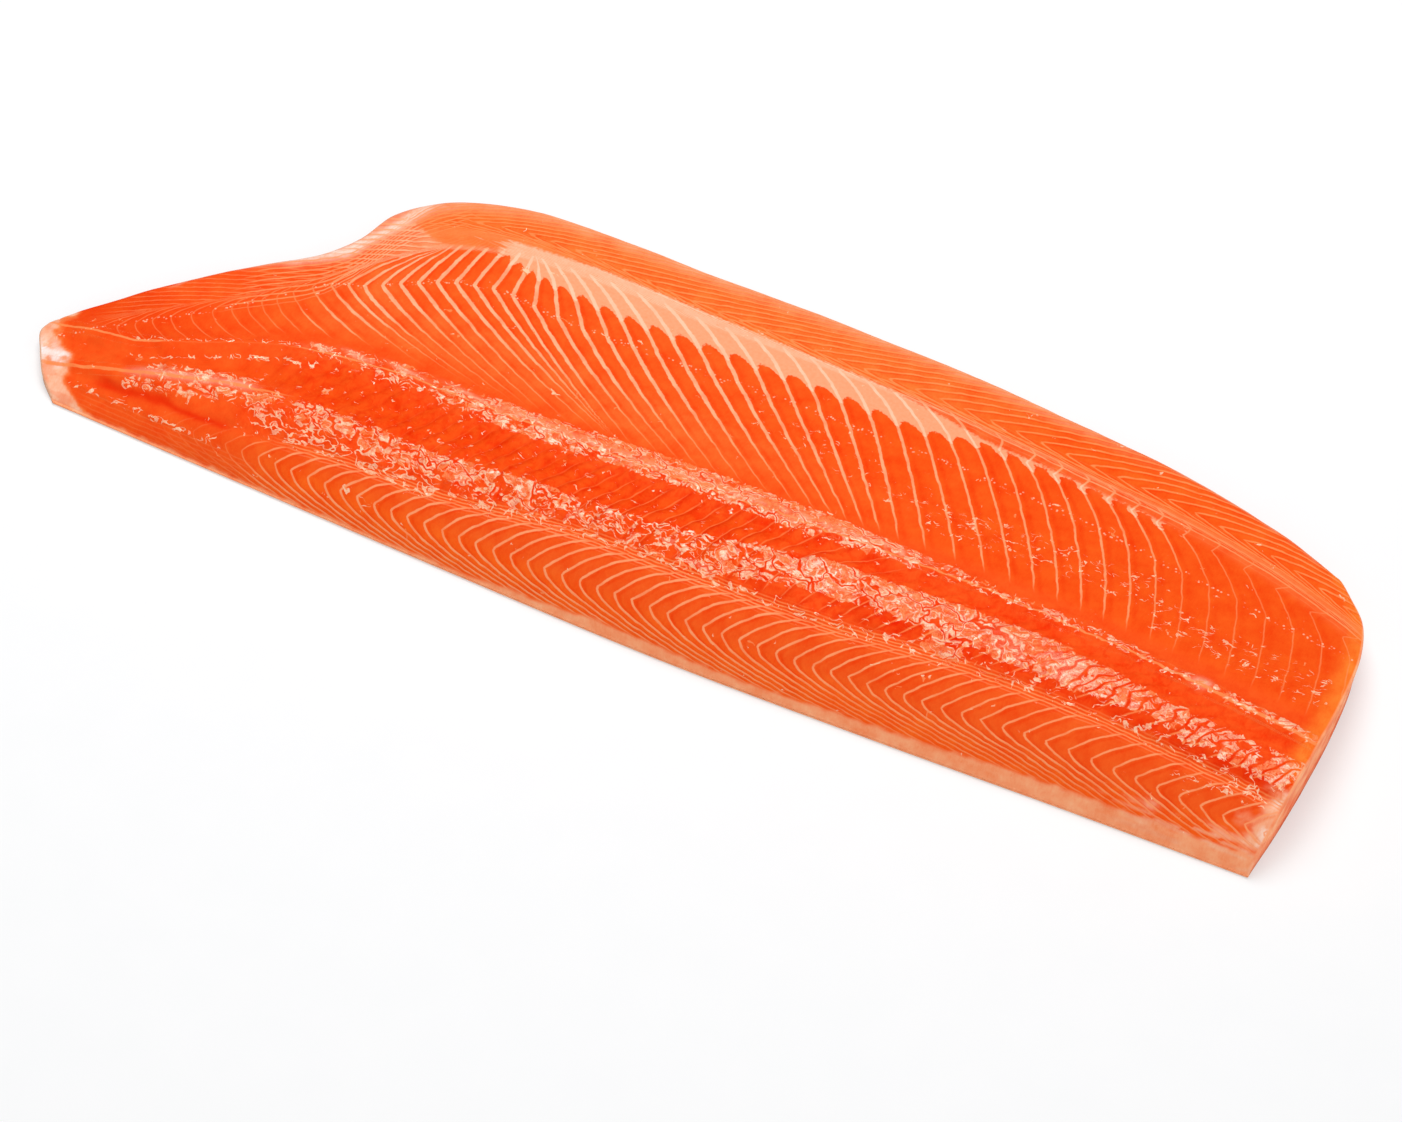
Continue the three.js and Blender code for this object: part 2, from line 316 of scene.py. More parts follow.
# Belly margin chevrons: towards the edge a line grows flatter, and inwards it runs into the bundle.
outwards = np.clip(margin_apex - edge, 0, None)
inwards = np.clip(edge - margin_apex, 0, None)
out_slope = through(((-130, 6.5), (-90, 5.5), (-60, 4), (-35, 3.2), (20, 2.9), (80, 2.1), (216, 2.3)), x)
far_slope = 6.5 - 2.3 * step(0, 80, x)
in_slope = through(((-130, 5), (-30, 4.2), (60, 2.6), (110, 3), (216, 3.4)), x)
forward = (
    out_slope * outwards + (far_slope - out_slope) * (outwards - 9 * np.arctan(outwards / 9))
    + in_slope * inwards / (1 - np.minimum(inwards / 8.3, 0.7))
)
margin_number = through(MARGIN_SEGMENTS, x - forward)

# Belly lines: below its kink a line runs forward and down, and above it leans as these tables say.
DOWN_SLOPE = (
    (-460, 0.3), (-176, 0.3), (-150, 0.3), (-141, 1.1), (-124, 1.2), (-114, 1.38), (-94, 1.3), (-80, 1.2),
    (-62, 1.12), (-36, 1.1), (0, 1.05), (30, 0.8), (48, 0.67), (79, 0.7), (107, 0.62), (137, 0.48),
    (155, 0.4), (460, 0.33),
)
DOWN_BEND = (
    (-460, 0.2), (-176, 0.2), (-165, 0.2), (-150, 0.11), (-141, 0.07), (-132, 0.075), (-124, 0.055),
    (-114, 0.024), (-94, 0.014), (-80, 0.006), (-62, 0.009), (-36, 0.005), (0, 0.002), (30, 0), (460, 0),
)
UP_SLOPE = (
    (-460, 0.03), (-95, 0.03), (-88, 0), (-80, -0.12), (-71, -0.38), (-60, -0.62), (60, -0.62), (460, -0.5),
)
FAN = ((-460, 1), (-146, 1), (-141, 0.95), (-132, 0.76), (-126, 0.62), (-120, 0.45), (-112, 0.24), (-92, 0.05), (-80, 0), (460, 0))
HOOK_EDGE = 37


def belly_line(kink):
    """Place along the fish, at each point's girth, of the line that bends at the given kink."""
    down = np.clip(through(KINK, kink) - girth, 0, None)
    up = np.clip(girth - through(KINK, kink), 0, None)
    return (
        kink + through(DOWN_SLOPE, kink) * down + through(DOWN_BEND, kink) * down**2
        + through(UP_SLOPE, kink) * up + through(FAN, kink) * 0.04 * up**2 / (1 + 0.025 * up)
        - 0.03 * np.clip(up - 11, 0, None) ** 2 * step(-85, -65, kink)
        + 1.5 * np.clip(HOOK_EDGE - edge, 0, 5) * step(85, 105, kink)
    )


kink = x.copy()
for _ in range(24):
    here = belly_line(kink)
    slope = (belly_line(kink + 0.4) - here) / 0.4
    kink = np.clip(kink + np.clip((x - here) / np.clip(slope, 0.25, 4), -8, 8), -400, 400)
belly_number = through(BELLY_SEGMENTS, kink)


def spacing(number):
    """Millimetres over the surface for one step of the number: one over its gradient on the chart."""
    xi, xj = np.gradient(x, axis=0), np.gradient(x, axis=1)
    gi, gj = np.gradient(girth, axis=0), np.gradient(girth, axis=1)
    ni, nj = np.gradient(number, axis=0), np.gradient(number, axis=1)
    area = xi * gj - gi * xj
    return 1 / np.clip(np.hypot((ni * gj - nj * gi) / area, (nj * xi - ni * xj) / area), 0.02, 3)


def line_set(choices):
    """Numbers, spacings and strengths of several families whose places on the chart don't meet."""
    strengths = np.stack([strength for _, strength in choices])
    first = strengths.argmax(axis=0)[None]
    fields = [np.stack([number for number, _ in choices]), np.stack([spacing(number) for number, _ in choices])]
    return np.stack([np.take_along_axis(field, first, 0)[0] for field in fields + [strengths]], -1)


# How strongly each family shows, from 0 to 1, which sets its width and its paleness.
in_strip = step(0, 1.2, girth - through(FAT_STRIP, x))
back_strength = in_strip * step(0.6, -3, girth - seam) * (
    (0.1 * step(-172, -150, x) + 0.34 * step(-140, -105, x)) * (1 - 0.25 * step(40, 90, x)) * (1 - 0.35 * step(13, 8, girth) * step(-40, 90, x))
)
above_septum = girth - septum + 9 * step(-130, -165, x)
belly_strength = step(5, 14, above_septum) * step(29, 31, edge + 21 * step(-108, -138, x)) * (
    0.16 + 0.06 * step(-150, -135, x) * (1 - 0.8 * step(130, 175, x)) + 0.55 * step(-142, -118, x) * step(100, 20, x) * step(-32, -14, girth - kink_girth)
    + 0.2 * step(165, 130, x) * step(20, 60, x) + 0.28 * between(-118, 0, 22, x) * step(-26, -8, girth - kink_girth)
) * step(-208, -190, x) * step(30, 18, (girth - kink_girth) * step(-140, -160, x))
margin_strength = 0.42 * step(32.5, 30.5, edge) * step(0, 2, edge) * step(-136, -104, x)
muscle_strength = (0.06 + 0.1 * step(-40, 0, x) + 0.1 * step(60, 90, x)) * step(2, 5, girth - seam) * step(8, 3, girth - channel) * (
    step(-110, -70, x) * (1 - step(60, 90, x) * step(0, 4, girth - gloss_low_from)))
lines_a = line_set([(back_number, back_strength), (belly_number, belly_strength)])
lines_b = line_set([(muscle_number, muscle_strength), (margin_number, margin_strength)])

# Distance out from the pale lining that runs along the notch of the vent.
vent_side = 0.75 * (girth - through(VENT_LINING, x))

# Single lines and bundles: the number is the distance from the curve over the strand spacing.
STRAND = 1.05
LONE = 5.0
bundle_pitch = 1.5 + 0.7 * step(60, 120, x)
strands = line_set([
    ((girth - seam) / STRAND + 0.2, (0.4 + 0.25 * between(-40, 90, 20, x)) * bell(girth - seam + 0.3, 1.9) * step(-130, -100, x)),
    ((edge - bundle) / bundle_pitch, 0.55 * bell(edge - bundle, 1.4 * bundle_pitch) * step(-120, -80, x)),
    (vent_side / 2.1, 0.3 * between(-17, -2, 4, vent_side) * between(-158, -112, 9, x)),
    (girth / 1.5, 0.09 * between(1.5, 8, 1.5, girth) * between(-186, -130, 10, x)),
    (np.clip((girth - septum) / LONE, -0.5, 0.5), between(-2.2, 2.2, 0.2, girth - septum) * (
        0.35 + 0.55 * step(150, 185, x) + 0.2 * step(-120, -180, x)) * (1 - 0.8 * between(-170, -135, 8, x))),
    (np.clip((girth - tail_septum) / LONE, -0.5, 0.5),
     between(-2.2, 2.2, 0.2, girth - tail_septum) * step(-118, -140, x) * 0.9),
])

# The fillet, its relief, in millimetres out of the smooth form
# The channel that the backbone left, the ridges beside it, the lobes of red muscle that gape between
# segments, the slight swell of every belly segment, and crumpled wet tissue on the ridges.
low_gloss = between(gloss_low_from, gloss_low_to, 2.0, girth) * step(-140, -110, x)
high_gloss = between(-gloss_wide, gloss_wide, 1.8, girth - gloss_high) * step(-140, -110, x)
belly_gloss = (
    between(76, 87, 4, girth) * between(85, 148, 10, x)
    + between(64, 74, 4, girth + 0.12 * (x - 180)) * between(155, 208, 8, x)
    + 0.6 * between(86, 97, 4, girth + 0.25 * (x - 45)) * between(12, 78, 8, x)
)
seam_gloss = bell(girth - seam - 0.5, 1.8) * step(-150, -120, x)
muscle_line = np.abs((muscle_number + 0.5) % 1 - 0.5) * spacing(muscle_number)
in_red = step(0, 3, girth - seam) * step(-1, -4, girth - septum) * step(-150, -120, x)
tail_gloss = (
    bell(girth - tail_septum - 2.5, 2.5) * between(-170, -138, 6, x)
    + 1.1 * bell(girth - tail_septum + 4, 3) * between(-176, -130, 5, x)
    + bell(girth - 8.5, 1.4) * between(-192, -140, 8, x)
    + 0.9 * (bell(girth - septum - 1, 1.3) + bell(girth - septum + 6, 1.3)) * between(-180, -125, 6, x)
)
plates_here = np.clip(
    low_gloss * (0.42 + 0.26 * between(-112, -35, 12, x) + 0.45 * step(20, 60, x) - 0.22 * step(140, 170, x)) + 1.1 * bell(np.hypot((x - 104) / 2.6, girth - 33.5), 3.0)
    + high_gloss * (0.4 + 0.35 * between(-50, 60, 30, x))
    + 0.4 * bell(girth - tail_septum - 2.5, 2) * between(-166, -145, 5, x)
    + 0.6 * bell(girth - tail_septum + 3.5, 3.5) * between(-172, -128, 6, x), 0, 1)
strokes_here = np.clip(
    0.75 * low_gloss + 0.8 * high_gloss + tail_gloss + (0.7 + 0.25 * between(-40, 90, 20, x)) * seam_gloss + 0.55 * belly_gloss + (0.3 - 0.15 * step(20, 60, x)) * in_red
    + 0.65 * bell(muscle_line, 0.9) * in_red * step(50, 80, x) * step(3, 0, girth - gloss_low_from)
    + 0.8 * bell(girth - 22.5, 1.8) * between(180, 205, 4, x) + 0.85 * between(20.5, 25, 2, girth) * between(-125, -70, 12, x), 0, 1)
crumpled = np.maximum(plates_here, strokes_here)
red_zone = step(-1, 3, girth - seam) * step(4, 0, girth - septum)


def swell(number):
    """Height of a segment between its two lines, from 0 at the lines to 1 in the middle."""
    return np.sqrt(np.abs(np.sin(np.pi * number)))


at_foot = step(0, 9, girth) * step(0, 6, edge)
relief = (
    0.9 * bell(girth - septum - 1, 4.0) - 1.0 * bell(girth - channel, 3.0) - 0.45 * bell(girth - seam, 2.0)
    + 1.0 * bell(girth - (seam + channel) / 2, 6.5)
    + 0.8 * (swell(muscle_number) - 0.6) * red_zone * step(-120, -60, x) * step(205, 190, x)
    + 0.16 * swell(belly_number) * step(8, 16, girth - septum) * step(30, 34, edge)
    + 0.10 * swell(margin_number) * step(32, 28, edge)
    + 0.14 * swell(back_number) * step(0, -3, girth - seam) * step(-130, -100, x)
    + 0.5 * crumple(9, 7, 3) * red_zone
    + 0.28 * crumple(4.2, 3.4, 11) * crumpled
    + 0.35 * crumple(40, 30, 23)
) * at_foot


def unit_normals(points):
    """Cross product of the two ways over the grid, made one long."""
    n = np.cross(np.gradient(points, axis=0), np.gradient(points, axis=1))
    return n / np.linalg.norm(n, axis=-1, keepdims=True)


top = smooth + relief[..., None] * unit_normals(smooth)
at_rims = step(0, 4, np.arange(STATIONS + 1)[:, None]) * step(STATIONS, STATIONS - 4, np.arange(STATIONS + 1)[:, None])
top[..., 0] = smooth[..., 0] + (top[..., 0] - smooth[..., 0]) * at_rims
top[..., 2] = np.maximum(top[..., 2], SKIN_EDGE)

# The fillet, its mesh: the top, the two cuts, a rolled edge of skin all round and the underside
def cut_rows(rim, inward, undercut, rows, seed):
    """Rows down a cut: a quarter circle from the rim, then straight down to the edge of the skin."""
    drop = np.minimum(RIM_ROUND, rim[:, 2] - SKIN_EDGE)
    turn = np.linspace(0, np.pi / 2, ROUND_ROWS + 1)[1:, None]
    face_x, shoulder = rim[:, 0], rim[:, 2] - drop
    soft_x = face_x + inward * drop * (1 - np.sin(turn))
    soft_z = shoulder + drop * np.cos(turn)
    down = np.linspace(0, 1, rows + 1)[1:, None]
    z = shoulder + (SKIN_EDGE - shoulder) * down
    rough = 0.35 * noise(rim[:, 1] / 3.1 + 0 * z, z / 2.2, seed) * np.sin(np.pi * down)
    x_down = face_x + inward * (undercut * (shoulder - z) / THICKNESS + np.abs(rough))
    y = np.broadcast_to(rim[:, 1], x_down.shape)
    y_soft = np.broadcast_to(rim[:, 1], soft_x.shape)
    return np.concatenate([np.stack([soft_x, y_soft, soft_z], -1), np.stack([x_down, y, z], -1)])


tail_rows = cut_rows(top[0], 1, 0, TAIL_ROWS, 31)[::-1]
head_rows = cut_rows(top[-1], -1, HEAD_UNDERCUT, HEAD_ROWS, 37)
station = np.arange(STATIONS + 1)[:, None]
for rim, inward in ((0, 1), (STATIONS, -1)):
    shift = inward * np.minimum(RIM_ROUND, top[rim, :, 2] - SKIN_EDGE)
    top[..., 0] += shift * np.clip(1 - np.abs(station - rim) / RIM_EASE, 0, 1)
sheet = np.concatenate([tail_rows, top, head_rows])
tail_count, head_count = len(tail_rows), len(head_rows)
rows, columns = sheet.shape[:2]
index = np.arange(rows * columns).reshape(rows, columns)


def quads(grid):
    """Two triangles for each cell of a grid of vertex numbers."""
    a, b, c, d = grid[:-1, :-1], grid[1:, :-1], grid[1:, 1:], grid[:-1, 1:]
    return np.concatenate([np.stack([a, b, c], -1).reshape(-1, 3), np.stack([a, c, d], -1).reshape(-1, 3)])


rim_index = np.concatenate([index[0, :-1], index[:-1, -1], index[-1, :0:-1], index[:0:-1, 0]])
rim_row = rim_index // columns
rim_points = sheet.reshape(-1, 3)[rim_index]
core_t = np.clip((rim_row - tail_count) / STATIONS, 0, 1)[:, None]
core = np.array(TAIL_CORE) * (1 - core_t) + np.array(HEAD_CORE) * core_t
inward = core - rim_points[:, :2]
inward /= np.linalg.norm(inward, axis=1, keepdims=True)
rings = []
for tuck, z in ((-0.12, 0.7), (0.15, 0.2), (SKIN_TUCK, 0)):
    rings.append(np.column_stack([rim_points[:, :2] + inward * tuck, np.full(len(rim_points), z * 1.0)]))
foot = rings[-1][:, :2]
for share in UNDER_RINGS:
    rings.append(np.column_stack([foot + (core - foot) * share, np.zeros(len(foot))]))
core_rows = np.arange(rows)
core_line_t = np.clip((core_rows - tail_count) / STATIONS, 0, 1)[:, None]
core_line = np.column_stack([np.array(TAIL_CORE) * (1 - core_line_t) + np.array(HEAD_CORE) * core_line_t, np.zeros(rows)])

loop = len(rim_index)
ring_index = rows * columns + np.arange(len(rings) * loop).reshape(len(rings), loop)
first_core = rows * columns + len(rings) * loop
shared = first_core + np.clip(rim_row, tail_count, tail_count + STATIONS)
belt = np.vstack([rim_index, ring_index, shared])
belt = np.column_stack([belt, belt[:, :1]])
points = np.vstack([sheet.reshape(-1, 3), *rings, core_line])
triangles = np.vstack([quads(index), quads(belt)])
a, b, c = triangles.T
triangles = triangles[(a != b) & (b != c) & (c != a)]
used = np.zeros(len(points), bool)
used[triangles] = True
renumber = np.cumsum(used) - 1
triangles = renumber[triangles]

mesh = bpy.data.meshes.new("fillet")
mesh.from_pydata((points[used] * MM).tolist(), [], triangles.tolist())
mesh.polygons.foreach_set("use_smooth", np.ones(len(mesh.polygons), bool))
mesh.validate()

# The fillet, its colours over the chart
HEX_DIGITS = 16


def linear(colour):
    """The linear value of an sRGB hex colour."""
    part = np.array([int(colour[i : i + 2], HEX_DIGITS) / 255 for i in (1, 3, 5)])
    return np.where(part <= 0.04045, part / 12.92, ((part + 0.055) / 1.055) ** 2.4)


tone = np.zeros(sheet.shape) + linear("#f8541a")


def everywhere(values, at_tail, at_head):
    """A field on the top, carried on over the rows of both cuts."""
    shape = values.shape[2:]
    before = np.broadcast_to(at_tail, (tail_count, columns) + shape)
    after = np.broadcast_to(at_head, (head_count, columns) + shape)
    return np.concatenate([before, values, after])


def tint(mask, colour):
    """Moves the colour of the top towards another by the mask."""
    part = tone[tail_count : tail_count + STATIONS + 1]
    part += np.clip(mask, 0, 1)[..., None] * (linear(colour) - part)


tint(step(2, -4, girth - seam), "#f4581c")
tint(step(6, 12, girth - septum), "#f9591b")
# The low back side, turned away from the light, is painted a brighter, more saturated orange against its shade
tint(0.8 * step(17, 8, girth) * step(-140, -100, x), "#ff6116")
tint(step(6, 16, girth - septum) * step(60, -20, x) * step(-150, -120, x), "#fa6427")
tint(0.6 * between(92, 117, 9, girth) * between(-108, 70, 12, x), "#f4500f")
tint(0.8 * bell(girth - channel, 4.5) * step(-200, -170, x) * (1 - 0.75 * step(30, 80, x)), "#f34f10")
tint(0.7 * between(34, 48, 5, girth) * between(-110, 30, 20, x), "#f34f10")
tint(0.7 * step(6, 12, girth - septum) * step(30, 100, x), "#f45211")
tint(step(32, 29, edge) * step(-135, -115, x), "#f96f2c")
tint(step(32, 29, edge) * step(50, 110, x), "#f95c18")
tint(0.6 * bell(edge - 33.5, 2.5) * step(20, 60, x), "#fb7038")
tint(step(17, 7, edge) * step(-130, -110, x) * step(150, 90, x), "#fcab80")
tint(step(-120, -170, x), "#f8561a")
tint(0.9 * bell(girth - 14 - 0.06 * (x + 160) - crumple(11, 4, 71), 1.8) * between(-182, -140, 8, x), "#ea2e06")
tint(0.6 * step(-150, -175, x) * between(32, 50, 6, girth), "#f2450d")
tint(0.6 * step(60, 85, x) * step(1, 4, girth - seam) * step(3, -1, girth - gloss_low_from), "#ee3a06")

# Painted shade: the furrows between the lobes of red muscle are darkened in colour, as their relief is shallow
furrow_shade = (1 - swell(muscle_number + 0.22 * crumple(9, 8, 53))) ** 1.4
tint((0.45 + 0.2 * step(-50, 0, x)) * furrow_shade * in_red * (1 - 0.6 * step(60, 100, x)), "#de2c04")

# Tissue: nodes where belly lines meet the septum, pale lining by the vent, and the tail's stump
node_line = np.abs((belly_number + 0.5) % 1 - 0.5) * spacing(belly_number)
tint(0.75 * bell(node_line, 1.3) * bell(girth - septum - 1.8, 1.5) * between(-110, 70, 25, x), "#fcb494")
tint(bell(np.hypot((x - 176) / 1.5, girth - 52.3), 1.5), "#fdd0b8")
tint(0.8 * bell(np.hypot((x - 176) / 1.4, girth - 11.3), 1.4), "#fbb898")
tint(0.7 * bell(girth - 29.5 + 0.07 * (x - 190), 2.2) * between(176, 204, 6, x), "#e63405")
# Along the fold of the belly edge near the head: a pale membrane strip, and a near-white painted highlight where the
# fold faces the light
EDGE_FOLD_SHEEN = ((130, 139), (150, 134.5), (165, 130), (180, 124.5), (197, 118))
tint(0.6 * bell(girth - through(EDGE_FOLD_SHEEN, x) + crumple(6, 4, 59), 1.7) * between(142, 194, 6, x), "#fcc0a0")
tint(0.85 * bell(girth - through(EDGE_FOLD_SHEEN, x) - 0.6, 1.3) * between(146, 160, 9, x), "#fff0e6")
frayed = vent_side + 0.9 * crumple(9, 7, 43)
lining_wide = through(((-190, 0.6), (-172, 1.2), (-160, 1.8), (-150, 3.2), (-140, 3.2), (-132, 4), (-126, 6)), x)
tint(0.75 * between(2, 30, 3, frayed) * between(-160, -136, 6, x), "#f68e66")
tint(0.7 * step(3.5, 1, edge) * between(-164, -118, 6, x), "#fbb48c")
tint(0.8 * bell(frayed, lining_wide) * between(-178, -118, 8, x), "#fbc4a6")
tint(0.75 * bell(frayed, 0.7 * lining_wide) * between(-158, -126, 6, x), "#fcd9c8")
tint(0.55 * step(-3, 4, frayed) * between(-134, -118, 8, x) * step(16, 8, edge), "#fcc9a6")
tint(0.9 * bell(girth - tail_septum - 0.3, 1.5) * between(-172, -140, 9, x), "#fb9c82")
STUMP = (
    (0, -186), (1.5, -188), (5, -194), (8, -197.5), (12, -199), (16, -199.5), (19, -204), (21, -208.5),
    (25, -210), (28, -211), (34, -209), (40, -213), (180, -216),
)
stump_line = through(STUMP, girth) + 1.6 * crumple(4, 3, 47)
tint(0.8 * step(3, 0, x - stump_line), "#fa8a4c")
tint(step(0.6, -0.8, x - stump_line), "#fab592")
tint(0.5 * step(0.2, -0.8, x - stump_line) * step(0.1, 0.5, crumple(5, 3, 49)), "#f88c62")
tint(step(1, -2, x - stump_line) * bell(girth - 15.5, 3.5) * step(-0.6, 0.1, crumple(3, 3, 48)), "#fce6de")
from_head = head_cut[None, :, 0] - x
tint(0.85 * step(8, 1, from_head) * step(25, 40, girth), "#fb7f2c")
ragged_head = from_head + 3 * crumple(5, 4, 61)
tint(step(9, 3, ragged_head) * between(11, 26, 4, girth), "#f9ad86")
tint(0.8 * step(5, 1, ragged_head) * between(12, 26, 3, girth) * step(-0.3, 0.3, crumple(3, 3, 62)), "#fcd6c2")
tint(step(1.0, -0.4, girth - through(FAT_STRIP, x) - 0.5 * noise(x / 2.6, girth * 0, 41)), "#ffa272")
strip_streaks = step(-0.05, 0.3, noise(x / 6.5 + 0.25 * girth, girth / 1.1, 89))
tint(0.75 * strip_streaks * between(3, 10, 3, girth) * step(150, 190, x), "#fbb08a")
tone[:tail_count] = linear("#f6b590")
face_y = head_rows[..., 1]
face_z = head_rows[..., 2]
tone[-head_count:] = linear("#ffa878")
face_red = step(-0.3, 0.5, noise(face_y / 5, face_z / 2.5, 73)) * 0.5 + 0.5 * step(0.4, 0.15, face_z / full[-1])
tone[-head_count:] += face_red[..., None] * (linear("#f4673c") - tone[-head_count:])
face_fat = step(14, 3, girth[-1:] + 3 * noise(face_y / 3, face_z / 1.6, 79)) * np.ones_like(face_z)
tone[-head_count:] += 0.8 * face_fat[..., None] * (linear("#fcb48c") - tone[-head_count:])

fat = np.stack([
    girth - through(FAT_FROM, x) - 3.2 * step(62, 84, x),
    through(FAT_TO, x) - girth,
    between(-72, 125, 34, x) * np.ones_like(x),
], -1)
marks = np.stack([girth - kink_girth, plates_here, strokes_here], -1)
ribs = step(105, 150, x)
tail_depth = top[0, :, 2] - tail_rows[..., 2]
head_depth = top[-1, :, 2] - face_z
in_ribs = girth - (gloss_low_from + gloss_low_to) / 2
rib = (x - 0.7 * in_ribs - 0.05 * in_ribs**2 + 1.9 * crumple(8, 4.5, 67)) / 4.2
plates_at = np.stack([(x + 0.5 * girth) * np.where(girth > channel, 0.4, 0.65), girth, rib], -1)
red = np.stack([red_zone * step(-150, -110, x), crumpled, ribs], -1)
fields = {
    "chart": everywhere(np.stack([x, girth, 0 * x], -1),
                        np.stack([x[0] + 0 * tail_depth, girth[0] + 0 * tail_depth, tail_depth], -1),
                        np.stack([x[-1] + 0 * head_depth, girth[-1] + 0 * head_depth, head_depth], -1)),
    "tone": tone,
    "lines_a": everywhere(lines_a, lines_a[:1] * (1, 1, 0), lines_a[-1:] * (1, 1, 0)),
    "lines_b": everywhere(lines_b, lines_b[:1] * (1, 1, 0), lines_b[-1:] * (1, 1, 0)),
    "strands": everywhere(strands, strands[:1] * (1, 1, 0), strands[-1:] * (1, 1, 0)),
    "fat": everywhere(fat, fat[0][None] * (1, 1, 0), fat[-1][None] * (1, 1, 0)),
    "marks": everywhere(marks, (50.0, 0.0, 0.0), (50.0, 0.0, 0.0)),
    "plates_at": everywhere(plates_at, plates_at[:1], plates_at[-1:]),
    "red": everywhere(red, (0.0, 0.0, 0.0), (0.0, 0.0, 0.0)),
}
ring_start = rows * columns
for name, field in fields.items():
    flat = np.zeros((len(points), 3))
    flat[:ring_start] = field.reshape(-1, 3)
    flat[ring_start:first_core] = np.tile(field.reshape(-1, 3)[rim_index], (len(rings), 1))
    layer = mesh.attributes.new(name, "FLOAT_VECTOR", "POINT")
    layer.data.foreach_set("vector", flat[used].astype(np.float32).ravel())
skin = np.zeros(len(points))
skin[rim_index] = 0.3
skin[ring_start:] = 1
skin[ring_start : ring_start + loop] = 0.6
skin[ring_start + loop : ring_start + 2 * loop] = 0.8
layer = mesh.attributes.new("skin", "FLOAT", "POINT")
layer.data.foreach_set("value", skin[used].astype(np.float32))

# Raw trout flesh
# Wet muscle between sheets of connective tissue, cut with a knife. It is deep orange with pale fine
# lines, and its film of water gives sharp gloss wherever the surface tilts to the light.
flesh = bpy.data.materials.new("raw_trout_flesh")
flesh.use_nodes = True
tree = flesh.node_tree
tree.nodes.clear()


def node(kind, inputs=None, out=0, **settings):
    """Adds one node with its settings, fills its sockets with values or links, returns an output."""
    made = tree.nodes.new("ShaderNode" + kind)
    for name, value in settings.items():
        setattr(made, name, value)
    for socket, value in (inputs or {}).items():
        if isinstance(value, bpy.types.NodeSocket):
            tree.links.new(value, made.inputs[socket])
        else:
            made.inputs[socket].default_value = value
    return made if out is None else made.outputs[out]


def rgba(colour):
    return (*linear(colour), 1)


chart = node("Attribute", out="Vector", attribute_name="chart")
wobble = node("TexNoise", {"Vector": chart, "Scale": 0.2, "Detail": 1.5})
fine = node("TexNoise", {"Vector": chart, "Scale": 0.9, "Detail": 3.0})
shift = node("Math", {0: wobble, 1: 1.0, 2: -0.5}, operation="MULTIPLY_ADD")

# Sheets of tissue: the distance in millimetres to the nearest whole number gives a line of even
# width, and along one side of it lies a shallow groove with painted shade that darkens the colour.
covers, strengths, distances, shaded_grooves = [], [], [], []
for name in ("lines_a", "lines_b", "strands"):
    packed = node("Attribute", out="Vector", attribute_name=name)
    number, pitch, strength = node("SeparateXYZ", {0: packed}, out=None).outputs
    moved = node("Math", {0: shift, 1: pitch}, operation="DIVIDE")
    moved = node("Math", {0: number, 1: moved}, operation="ADD")
    away = node("Math", {0: moved, 1: 0.5}, operation="PINGPONG")
    away = node("Math", {0: away, 1: pitch}, operation="MULTIPLY")
    half = node("Math", {0: strength, 1: 0.5, 2: 0.1}, operation="MULTIPLY_ADD")
    widest = node("Math", {0: pitch, 1: 0.12, 2: 0.04}, operation="MULTIPLY_ADD")
    half = node("Math", {0: half, 1: widest}, operation="MINIMUM")
    grown = node("Math", {0: fine, 1: 0.7, 2: 0.65}, operation="MULTIPLY_ADD")
    half = node("Math", {0: half, 1: grown}, operation="MULTIPLY")
    outer = node("Math", {0: half, 1: 0.2}, operation="ADD")
    inner = node("Math", {0: half, 1: -0.15}, operation="ADD")
    line = node("MapRange", {"Value": away, "From Min": outer, "From Max": inner}, interpolation_type="SMOOTHSTEP")
    shown = node("MapRange", {"Value": strength, "From Min": 0.02, "From Max": 0.3})
    covers.append(node("Math", {0: line, 1: shown}, operation="MULTIPLY"))
    beside = node("Math", {0: moved, 1: -0.24}, operation="ADD")
    beside = node("Math", {0: beside, 1: 0.5}, operation="PINGPONG")
    beside = node("MapRange", {"Value": beside, "From Min": 0.2, "From Max": 0.0}, interpolation_type="SMOOTHSTEP")
    shaded_grooves.append(node("Math", {0: beside, 1: shown}, operation="MULTIPLY"))
    strengths.append(strength)
    distances.append(away)
lines = node("Math", {0: covers[0], 1: covers[1]}, operation="MAXIMUM")
lines = node("Math", {0: lines, 1: covers[2]}, operation="MAXIMUM")
patchy = node("MapRange", {"Value": wobble, "From Min": 0.3, "From Max": 0.6, "To Min": 0.62, "To Max": 0.95})
lines_shown = node("Math", {0: lines, 1: patchy}, operation="MULTIPLY")
shaded_groove = node("Math", {0: shaded_grooves[0], 1: shaded_grooves[1]}, operation="MAXIMUM")

# Wet film: torn patches on the ridges, each cracked into plates of some millimetres
film = node("Attribute", out="Vector", attribute_name="marks")
from_kink, ridge, stroked = node("SeparateXYZ", {0: film}, out=None).outputs
red = node("Attribute", out="Vector", attribute_name="red")
red, rough, ribbed = node("SeparateXYZ", {0: red}, out=None).outputs
warp = node("TexNoise", {"Vector": chart, "Scale": 0.26, "Detail": 1.6}, out="Color")
warped = node("VectorMath", {0: warp, 1: (9.0, 7.0, 0.0), 2: chart}, operation="MULTIPLY_ADD")
bent = node("TexNoise", {"Vector": chart, "Scale": 0.25, "Detail": 1.0}, out="Color")
plates_at = node("Attribute", out="Vector", attribute_name="plates_at")
rib = node("SeparateXYZ", {0: plates_at}, out=2)
bent = node("VectorMath", {0: bent, 1: (7.0, 7.0, 0.0), 2: plates_at}, operation="MULTIPLY_ADD")
bent = node("VectorMath", {0: bent, 1: (1.0, 1.0, 0.0)}, operation="MULTIPLY")
